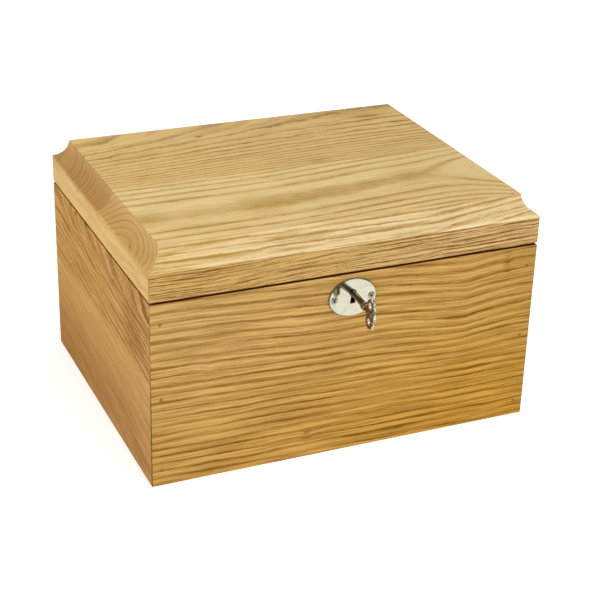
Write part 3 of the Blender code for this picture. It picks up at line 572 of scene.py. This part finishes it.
def wood(name, figure_of, grain_axis, gloss=0.02, jointed=False):
    """Ash with the given figure: dark porous lines, streaks, pores along the grain, and satin lacquer."""
    made, tree, shader = new_material(name)
    p = Point(tree)
    figure = figure_of(p)
    length = p.x if grain_axis == "X" else p.y

    def along_grain(size, detail, roughness=0.5, seed=0):
        long, wide = size
        stretch = (long, wide, wide) if grain_axis == "X" else (wide, long, wide)
        return p.noise(stretch, detail, roughness, seed)

    def along_ring(size, detail, roughness=0.5, seed=0):
        long, to_a_ring = size
        return noise_of(tree, (length * (1 / long), count * to_a_ring, 0), detail, roughness, seed)

    count = figure.rings + swing(along_grain(RAGGED_SIZE, 3, 0.6, seed=1), figure.ragged)
    ring = count.part()
    line = ring.fall(0.0, figure.line_width).at_least(ring.rise(0.75, 1.0) * figure.lead_in)
    strength = along_ring(LINE_STRENGTH, 2, seed=2).rise(0.20, 0.7) * 0.45 + 0.52
    broad_streak = along_ring(BROAD_STREAK, 1, seed=3).rise(0.34, 0.66)
    thin_streak = along_ring(THIN_STREAK, 2, 0.6, seed=9).rise(0.34, 0.66)
    streak = swing(broad_streak, 0.62) + swing(thin_streak, 0.42)
    pores = along_grain(PORE_SIZE, 2, 0.6, seed=4).rise(0.55, 0.72)
    fibre = swing(along_grain(FIBRE_SIZE, 3, 0.65, seed=5), 1)
    patch = swing(along_grain(PATCH_SIZE, 2, seed=6), 1)
    dark_line = line * strength * figure.contrast
    shade = dark_line + streak * figure.streaks + figure.marks
    shade = shade + pores * (dark_line * 0.5 + 0.08) + fibre * 0.22 + patch * 0.10 + 0.12
    colour = mix_colours(tree, shade.at_least(0).at_most(1), figure.light, figure.dark)
    # Painted shade in the lid gap and the key's hole, with the glue lines of the mitres, darkens the wood towards
    # one colour.
    glue_and_shade_share = gap_shade(p)
    if jointed:
        glue_and_shade_share = (glue_and_shade_share + mitre_line(p) + lock_hole_shade(p)).at_most(1)
    colour = mix_colours(tree, glue_and_shade_share, colour, GLUE_AND_SHADE)
    colour = brighten(tree, colour, fibre * 0.05 + figure.tone)
    tree.links.new(colour, shader.inputs["Base Color"])
    tree.links.new((shade * 0.12 + pores * 0.1 + 0.40).socket, shader.inputs["Roughness"])
    shader.inputs["Specular IOR Level"].default_value = gloss
    add_bump(tree, shader, pores * -0.7 - dark_line * 0.4 + fibre * 0.25, GRAIN_BUMP, 0.7)
    return made


# ---- Metals ----

# Colours for dark grime with painted shade, and for a painted brown reflection of the box and the room.
GRIME_AND_SHADE = (0.020, 0.013, 0.008)
REFLECTED_BROWN = (0.150, 0.099, 0.037)
NICKEL = (0.56, 0.54, 0.43)
PLATE_NICKEL = (0.56, 0.545, 0.43)
SCREW_NICKEL = (0.36, 0.34, 0.25)
STEEL = (0.42, 0.41, 0.38)
KEY_METAL = (0.58, 0.54, 0.43)
WORN_SHARE = 0.82
POLISH_BUMP = 0.000006


def open_share(tree, reach):
    """How open the piece is round a place, within this many metres: 1 in the open, 0 deep in a recess."""
    node = tree.nodes.new("ShaderNodeAmbientOcclusion")
    node.only_local = True
    node.samples = 8
    node.inputs["Distance"].default_value = reach
    return Num(tree, node.outputs["AO"])


def metal(name, colour, roughness, grime_and_shade_reach=0.0015, edge_axis=None, reflection_and_shade_of=None):
    """Polished metal with cloudy polish, hairline scratches, and dark grime with painted shade in its recesses.

    Painted shade also darkens the metal where it turns away from edge_axis. The optional function of a point gives
    where a painted brown reflection tints the metal, and how much painted shade darkens it there in the open.
    """
    made, tree, shader = new_material(name)
    p = Point(tree)
    cloud = p.noise((3.0, 3.0, 3.0), 4, 0.6, seed=1)
    scratch = p.noise((7.0, 7.0, 0.10), 2, 0.5, seed=2).rise(0.60, 0.75)
    worn = tuple(WORN_SHARE * c for c in colour)
    tint = mix_colours(tree, cloud.rise(0.40, 0.75), colour, worn)
    # Painted shade, with some grime: darker where less of the piece lies open round a place.
    openness = open_share(tree, grime_and_shade_reach)
    # On the key: a painted brown reflection, and painted shade that grows towards the plate.
    if reflection_and_shade_of:
        brown_reflection, painted_shade = reflection_and_shade_of(p)
        tint = mix_colours(tree, brown_reflection, tint, REFLECTED_BROWN)
        grime_and_shade = openness.fall(0.62, 0.96).at_least(painted_shade)
    else:
        grime_and_shade = openness.fall(0.30, 0.85)
    # Painted shade on edges that turn away from edge_axis.
    if edge_axis:
        grime_and_shade = grime_and_shade.at_least(p.facing(edge_axis).fall(0.60, 0.97) * 0.9)
    tree.links.new(mix_colours(tree, grime_and_shade, tint, GRIME_AND_SHADE), shader.inputs["Base Color"])
    rough = cloud * 0.06 + scratch * 0.05 + grime_and_shade * 0.25 + roughness
    tree.links.new(rough.socket, shader.inputs["Roughness"])
    shader.inputs["Metallic"].default_value = 1.0
    add_bump(tree, shader, scratch * -0.4 + cloud * 0.6, POLISH_BUMP, 0.4)
    return made


def key_reflection_and_shade(p):
    """A painted brown reflection along the key's stem and on the flat sides of its bow, and painted shade, darkest
    at the plate.
    """
    brown_reflection = p.facing("X").rise(0.35, 0.75).at_least(p.y.rise(-148, -144)) * 0.92
    return brown_reflection, p.y.rise(-130, -122) * 0.55


def filled_hole(name):
    """Dark filler over the head of a sunk pin."""
    made, tree, shader = new_material(name)
    speck = Point(tree).noise((0.25, 0.25, 0.25), 2, seed=1)
    colour = mix_colours(tree, speck, (0.200, 0.085, 0.010), (0.420, 0.200, 0.040))
    tree.links.new(colour, shader.inputs["Base Color"])
    tree.links.new((speck * 0.2 + 0.5).socket, shader.inputs["Roughness"])
    shader.inputs["Specular IOR Level"].default_value = 0.05
    add_bump(tree, shader, speck, 0.00005, 0.6)
    return made


# ---- Making pieces ----

ARRIS_RADIUS = 0.0006
LONG_EDGE = 0.030
LEVEL_WITHIN = 0.001
ARRIS_ANGLE = math.radians(30)
FLAT_WITHIN = math.radians(0.5)
SAME_POINT = 1e-6


def mesh_piece(name, bm, material, body, nodes, sharp=30):
    """Finishes a bmesh as a smooth-shaded piece that stands for CAD nodes and rides on a body."""
    mesh = bpy.data.meshes.new(name)
    bm.to_mesh(mesh)
    bm.free()
    mesh.shade_smooth()
    mesh.set_sharp_from_angle(angle=math.radians(sharp))
    piece = bpy.data.objects.new(name, mesh)
    bpy.context.scene.collection.objects.link(piece)
    mesh.materials.append(material)
    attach(piece, body)
    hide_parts(*nodes)


def solid_copy(node):
    """A CAD node's shape as a bmesh, its flat faces in one piece each."""
    bm = bmesh.new()
    bm.from_mesh(NODES[node].data)
    bmesh.ops.remove_doubles(bm, verts=bm.verts, dist=SAME_POINT)
    bmesh.ops.dissolve_limit(bm, angle_limit=FLAT_WITHIN, verts=bm.verts, edges=bm.edges)
    return bm


def eased_board(node, material, body):
    """A board with its long level arrises rubbed round. The upright ones are mitred, so they stay crisp."""
    bm = solid_copy(node)
    edges = []
    for e in bm.edges:
        level = abs(e.verts[0].co.z - e.verts[1].co.z) < LEVEL_WITHIN
        if level and e.calc_length() > LONG_EDGE and e.calc_face_angle(0) > ARRIS_ANGLE:
            edges.append(e)
    bmesh.ops.bevel(
        bm, geom=edges, offset=ARRIS_RADIUS, segments=3, profile=0.5, affect="EDGES", clamp_overlap=True
    )
    mesh_piece(f"{node}_board", bm, material, body, [node])


def smooth_part(node, material, body):
    """A CAD node with its round faces shaded smooth."""
    mesh_piece(f"{node}_part", solid_copy(node), material, body, [node])


# ---- Lid board ----

NOSE_RADIUS = 0.0018
NOSE_FLAT = 0.0003
COVE_WIDTH = 0.011
COVE_RADIUS = 0.0173
TOP_ARRIS = 0.0007
NOSE_STEPS = 8
COVE_STEPS = 20
COVE_STOPS_SHORT_DEG = 2.2


def arc(centre, radius, start_deg, end_deg, steps):
    """Points along part of a circle."""
    angles = [math.radians(start_deg + (end_deg - start_deg) * i / steps) for i in range(steps + 1)]
    return [(centre[0] + radius * math.cos(a), centre[1] + radius * math.sin(a)) for a in angles]


def lid_edge_profile(bottom, top):
    """(inset, height) points up the lid board's edge: round nose, shallow cove, eased top arris."""
    nose = arc((NOSE_RADIUS, bottom + NOSE_FLAT), NOSE_RADIUS, 180, 90, NOSE_STEPS)
    low = Vector(nose[-1])
    high = Vector((COVE_WIDTH, top))
    chord = high - low
    half_angle = math.degrees(math.asin(chord.length / 2 / COVE_RADIUS))
    out = Vector((-chord.y, chord.x)).normalized()
    centre = (low + high) / 2 + out * COVE_RADIUS * math.cos(math.radians(half_angle))
    middle = math.degrees(math.atan2(-out.y, -out.x))
    last = middle + half_angle - COVE_STOPS_SHORT_DEG
    cove = arc(centre, COVE_RADIUS, middle - half_angle, last, COVE_STEPS)
    ease = [(COVE_WIDTH + TOP_ARRIS * 0.35, top - TOP_ARRIS * 0.18), (COVE_WIDTH + TOP_ARRIS, top)]
    return [(0, bottom), *nose, *cove[1:], *ease]


def make_lid_board(material):
    """The board, its coved edge the same on all four sides."""
    low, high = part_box("lid_board")
    bm = bmesh.new()
    rings = []
    for inset, height in lid_edge_profile(low.z, high.z):
        corners = (
            (low.x + inset, low.y + inset),
            (high.x - inset, low.y + inset),
            (high.x - inset, high.y - inset),
            (low.x + inset, high.y - inset),
        )
        rings.append([bm.verts.new((x, y, height)) for x, y in corners])
    bm.faces.new(reversed(rings[0]))
    bm.faces.new(rings[-1])
    for lower, upper in zip(rings, rings[1:]):
        for i in range(4):
            j = (i + 1) % 4
            bm.faces.new((lower[i], lower[j], upper[j], upper[i]))
    bmesh.ops.recalc_face_normals(bm, faces=bm.faces)
    mesh_piece("lid_board_shaped", bm, material, "lid", ["lid_board"], sharp=35)


# ---- Key: cast in one piece, with a pierced and beaded bow ----

STEM_RADIUS = 0.0023
STEM_INSIDE = 0.0158
BIT_THICKNESS = 0.0022
BIT_START = 0.0090
BIT_END = 0.0141
BIT_REACH = 0.0072
WARD_DEPTH = 0.0024
WARD_WIDTH = 0.0010
WARD_OVERLAP = 1.2
BOW_CENTRE = 0.0292
BOW_HALF_THICKNESS = 0.0013
BOW_SAG = 0.0008
# Each lobe is its place out and up from the bow's centre, and the radius of its ring.
SIDE_LOBE = (-0.0002, 0.0062, 0.0039)
SIDE_BAND = 0.0013
OUTER_LOBE = (0.0024, 0.0, 0.0027)
OUTER_BAND = 0.0012
BAND_SQUARENESS = 0.45
BEAD_RADIUS = 0.0011
SIDE_BEAD_RISE = 0.0012
OUTER_BEAD_RISE = 0.0009
NECK_FROM_CENTRE = 0.0062
TIP_RADIUS = 0.0009
TIP_CHAMFER = 0.0004
COLLAR_WIDTH = 0.0019
COLLAR_STEPS = 6
PLAIN_STEM_STOPS_SHORT = 0.0058
# Each turned collar is (distance before the neck, height).
COLLARS = ((0.0056, 0.0008), (0.0034, 0.0006))
# The stem thins into the bow: (distance past the neck, share of the stem's radius).
THINNING = ((-0.0008, 0.85), (0.0022, 0.80))
# Each boss is its place out and up from the bow's centre, and its half sizes out, up and across.
WEB_BOSS = ((-0.0036, 0.0024), (0.0016, 0.0016, 0.0014))
WAIST_BOSS = ((-0.0043, 0), (0.0030, 0.0024, 0.0018))
CAST_VOXEL = 0.00018
CAST_SOFTENING_PASSES = 3


def key_place():
    """The key's own frame: its pivot is the origin, its stem points in along +Y, and +Z is up its bow."""
    joint = next(joint for joint in frame["joints"] if joint["name"] == "key_turn")
    inward = Vector(joint["axis"]).normalized()
    side = Vector((1, 0, 0))
    up = side.cross(inward)
    turn = Matrix((side, inward, up)).transposed().to_4x4()
    return Matrix.Translation(joint["pos_m"]) @ turn


def on_bow(u, v, w=0.0):
    """A point of the bow: u out from its centre along the stem, v up, w across its thickness."""
    return Vector((w, -(BOW_CENTRE + u), v - BOW_SAG))


def add_loops(bm, loops, closed=False):
    """Skins a row of equal loops of points, capped at both ends unless its last loop joins its first."""
    rings = [[bm.verts.new(point) for point in loop] for loop in loops]
    pairs = list(zip(rings, rings[1:]))
    if closed:
        pairs.append((rings[-1], rings[0]))
    else:
        bm.faces.new(reversed(rings[0]))
        bm.faces.new(rings[-1])
    for first, second in pairs:
        for i in range(len(first)):
            j = (i + 1) % len(first)
            bm.faces.new((first[i], first[j], second[j], second[i]))


def add_stem(bm, profile, steps=32):
    """A turned bar along Y from (distance out, radius) points."""
    turns = [math.tau * i / steps for i in range(steps)]
    add_loops(bm, [[(r * math.cos(t), -out, r * math.sin(t)) for t in turns] for out, r in profile])


def squared(value):
    """A cosine or sine pushed towards -1 and 1, which squares off a round section."""
    return math.copysign(abs(value) ** BAND_SQUARENESS, value)


def add_lobe(bm, u, v, ring_radius, half_width, steps=40, section_steps=20):
    """A ring of flat band, with eased edges, in the plane of the bow."""
    section = [math.tau * (j + 0.5) / section_steps for j in range(section_steps)]
    loops = []
    for i in range(steps):
        turn = math.tau * i / steps
        loop = []
        for t in section:
            reach = ring_radius + half_width * squared(math.cos(t))
            across = BOW_HALF_THICKNESS * squared(math.sin(t))
            loop.append(on_bow(u + reach * math.cos(turn), v + reach * math.sin(turn), across))
        loops.append(loop)
    add_loops(bm, loops, closed=True)


def add_ball(bm, centre, radii):
    """An ellipsoid with these half sizes in u, v and w."""
    size = Matrix.Diagonal((radii[2], radii[0], radii[1], 1))
    bmesh.ops.create_icosphere(bm, subdivisions=3, radius=1, matrix=Matrix.Translation(centre) @ size)


def add_beads(bm, u, v, reach, start_deg, end_deg, count):
    """A row of beads round the outside of a lobe."""
    for i in range(count):
        turn = math.radians(start_deg + (end_deg - start_deg) * i / (count - 1))
        centre = on_bow(u + reach * math.cos(turn), v + reach * math.sin(turn))
        add_ball(bm, centre, (BEAD_RADIUS, BEAD_RADIUS, BOW_HALF_THICKNESS))


def add_bit(bm):
    """The bit that turns in the lock: a slab under the stem with a ward cut up from its edge."""
    middle = (BIT_START + BIT_END) / 2
    blocks = (
        (BIT_START, BIT_END, -BIT_REACH + WARD_DEPTH, 0),
        (BIT_START, middle - WARD_WIDTH / 2, -BIT_REACH, -BIT_REACH + WARD_DEPTH * WARD_OVERLAP),
        (middle + WARD_WIDTH / 2, BIT_END, -BIT_REACH, -BIT_REACH + WARD_DEPTH * WARD_OVERLAP),
    )
    for near, far, bottom, top in blocks:
        size = Matrix.Diagonal((BIT_THICKNESS, far - near, top - bottom, 1))
        centre = Matrix.Translation((0, (near + far) / 2, (bottom + top) / 2))
        bmesh.ops.create_cube(bm, size=1, matrix=centre @ size)


def add_bow(bm):
    """Two pierced side lobes and a smaller outer one, round a waisted middle, beaded along the outer rim."""
    u, v, ring_radius = SIDE_LOBE
    (web_u, web_v), web_size = WEB_BOSS
    for sign in (1, -1):
        add_lobe(bm, u, sign * v, ring_radius, SIDE_BAND)
        add_beads(bm, u, sign * v, ring_radius + SIDE_BEAD_RISE, 0, sign * 96, 3)
        add_ball(bm, on_bow(web_u, sign * web_v), web_size)
    u, v, ring_radius = OUTER_LOBE
    add_lobe(bm, u, v, ring_radius, OUTER_BAND)
    add_beads(bm, u, v, ring_radius + OUTER_BEAD_RISE, -32, 32, 2)
    waist_place, waist_size = WAIST_BOSS
    add_ball(bm, on_bow(*waist_place), waist_size)


def stem_profile():
    """(distance out, radius) from the tip inside the lock to the neck of the bow, past the two collars."""
    neck = BOW_CENTRE - NECK_FROM_CENTRE
    points = [
        (-STEM_INSIDE, TIP_RADIUS),
        (-STEM_INSIDE, STEM_RADIUS - TIP_CHAMFER),
        (-STEM_INSIDE + TIP_CHAMFER, STEM_RADIUS),
        (neck - PLAIN_STEM_STOPS_SHORT, STEM_RADIUS),
    ]
    for before_neck, height in COLLARS:
        for i in range(COLLAR_STEPS + 1):
            share = i / COLLAR_STEPS
            out = neck - before_neck + COLLAR_WIDTH * share
            points.append((out, STEM_RADIUS + height * math.sin(math.pi * share)))
    points += [(neck + past, STEM_RADIUS * share) for past, share in THINNING]
    return points


def make_key(material):
    """Joins the turned and cast shapes into one skin, as the casting is."""
    bm = bmesh.new()
    add_stem(bm, stem_profile())
    add_bit(bm)
    add_bow(bm)
    bmesh.ops.recalc_face_normals(bm, faces=bm.faces)
    rough = bpy.data.objects.new("key_rough", bpy.data.meshes.new("key_rough"))
    bm.to_mesh(rough.data)
    bm.free()
    bpy.context.scene.collection.objects.link(rough)
    join = rough.modifiers.new("join", "REMESH")
    join.mode = "VOXEL"
    join.voxel_size = CAST_VOXEL
    soften = rough.modifiers.new("soften", "SMOOTH")
    soften.iterations = CAST_SOFTENING_PASSES
    cast = bmesh.new()
    cast.from_object(rough, bpy.context.evaluated_depsgraph_get())
    cast.transform(key_place())
    bpy.data.objects.remove(rough)
    mesh_piece("key_cast", cast, material, "key", ["key"], sharp=180)


# ---- Studio ----

# Each light is its name, its place, the side of its square and its power.
LIGHTS = (
    ("key_light", (0.9, -1.5, 1.6), 1.6, 24),
    ("top_light", (-0.2, 0.2, 2.0), 1.6, 10),
    ("fill_light", (-1.8, -0.6, 0.9), 1.4, 8),
)
LIGHT_AIM = Vector((0, 0, 0.1))
WORLD_STRENGTH = 0.40
FLOOR_REACH = 6.0
FLOOR_DROP = 0.0002
FLOOR_GLOW = 0.50


def make_camera():
    """The camera, aimed along the viewing direction and rolled a little."""
    camera = bpy.data.objects.new("camera", bpy.data.cameras.new("camera"))
    bpy.context.scene.collection.objects.link(camera)
    level = math.cos(CAMERA_ELEVATION)
    sideways = math.sin(CAMERA_AZIMUTH) * level
    forwards = -math.cos(CAMERA_AZIMUTH) * level
    back = Vector((sideways, forwards, math.sin(CAMERA_ELEVATION)))
    camera.location = CAMERA_TARGET + back * CAMERA_DISTANCE
    right = Vector((0, 0, 1)).cross(back).normalized()
    up = back.cross(right)
    rolled_right = right * math.cos(CAMERA_ROLL) + up * math.sin(CAMERA_ROLL)
    rolled_up = up * math.cos(CAMERA_ROLL) - right * math.sin(CAMERA_ROLL)
    camera.rotation_mode = "QUATERNION"
    camera.rotation_quaternion = Matrix((rolled_right, rolled_up, back)).transposed().to_quaternion()
    camera.data.lens = CAMERA_LENS
    bpy.context.scene.camera = camera


def area_light(name, place, size, power):
    """A square light that faces the box."""
    light = bpy.data.lights.new(name, "AREA")
    light.shape = "SQUARE"
    light.size = size
    light.energy = power
    made = bpy.data.objects.new(name, light)
    bpy.context.scene.collection.objects.link(made)
    made.location = place
    made.rotation_mode = "QUATERNION"
    made.rotation_quaternion = (LIGHT_AIM - Vector(place)).to_track_quat("-Z", "Y")


def floor_material():
    """Pale and matt, and faintly glowing, so that it stays even where the lights fall off."""
    made, tree, shader = new_material("pale_floor")
    cloud = Point(tree).noise((120, 120, 120), 3, seed=1)
    colour = mix_colours(tree, cloud, (0.93, 0.93, 0.92), (0.95, 0.95, 0.94))
    tree.links.new(colour, shader.inputs["Base Color"])
    shader.inputs["Roughness"].default_value = 0.9
    shader.inputs["Specular IOR Level"].default_value = 0.1
    shader.inputs["Emission Color"].default_value = (1, 1, 1, 1)
    shader.inputs["Emission Strength"].default_value = FLOOR_GLOW
    return made


def make_floor():
    """A wide plain floor, just clear of the underside."""
    mesh = bpy.data.meshes.new("floor")
    corners = ((-1, -1), (1, -1), (1, 1), (-1, 1))
    mesh.from_pydata([(x * FLOOR_REACH, y * FLOOR_REACH, 0) for x, y in corners], [], [(0, 1, 2, 3)])
    floor = bpy.data.objects.new("floor", mesh)
    floor.location.z = -FLOOR_DROP
    bpy.context.scene.collection.objects.link(floor)
    mesh.materials.append(floor_material())


def make_studio():
    """White surroundings, three soft lights and the floor."""
    world = bpy.data.worlds.new("studio")
    bpy.context.scene.world = world
    world.use_nodes = True
    background = world.node_tree.nodes["Background"]
    background.inputs["Color"].default_value = (1, 1, 1, 1)
    background.inputs["Strength"].default_value = WORLD_STRENGTH
    for light in LIGHTS:
        area_light(*light)
    make_floor()
    bpy.context.scene.view_settings.view_transform = "Standard"


# ---- The whole box ----


def body_of_node(node):
    """The body that a CAD node belongs to."""
    for body, members in frame["record"]["behaviour"]["bodies"].items():
        if node in members:
            return body


def make_boards():
    """The walls, rails and bottom, each with the figure of its kind of board."""
    front = wood("ash_front", front_figure, "X", jointed=True)
    side = wood("ash_side", left_figure, "Y", jointed=True)
    rail_long = wood("ash_rail_long", long_rail_figure, "X")
    rail_short = wood("ash_rail_short", short_rail_figure, "Y")
    boards = {
        "front_wall": front,
        "back_wall": front,
        "left_wall": side,
        "right_wall": side,
        "lid_rail_front": rail_long,
        "lid_rail_back": rail_long,
        "lid_rail_left": rail_short,
        "lid_rail_right": rail_short,
        "bottom_panel": wood("plywood", plywood_figure, "X"),
    }
    for node, material in boards.items():
        eased_board(node, material, body_of_node(node))


def make_fittings(slots):
    """The pins, hinges, lock, strike, plate and screws: every node that isn't wood or the key."""
    by_slot = {
        "nickel": metal("nickel", NICKEL, 0.22),
        "steel": metal("steel", STEEL, 0.28),
    }
    plate = metal("plate_nickel", PLATE_NICKEL, 0.05, edge_axis="Y")
    screw = metal("screw_nickel", SCREW_NICKEL, 0.12, grime_and_shade_reach=0.0024)
    filler = filled_hole("pin_filler")
    for node in sorted(NODES):
        if node.startswith("pin_"):
            finish = filler
        elif node == "escutcheon_plate":
            finish = plate
        elif "screw" in node:
            finish = screw
        else:
            finish = by_slot.get(slots[node])
        if finish:
            smooth_part(node, finish, body_of_node(node))


def main():
    slots = {row["node"]: row["material_slot"] for row in frame["record"]["subparts"]}
    make_lid_board(wood("ash_top", top_figure, "X", gloss=0.12))
    make_key(metal("key_metal", KEY_METAL, 0.12, grime_and_shade_reach=0.0024, reflection_and_shade_of=key_reflection_and_shade))
    make_boards()
    make_fittings(slots)
    make_camera()
    make_studio()


main()
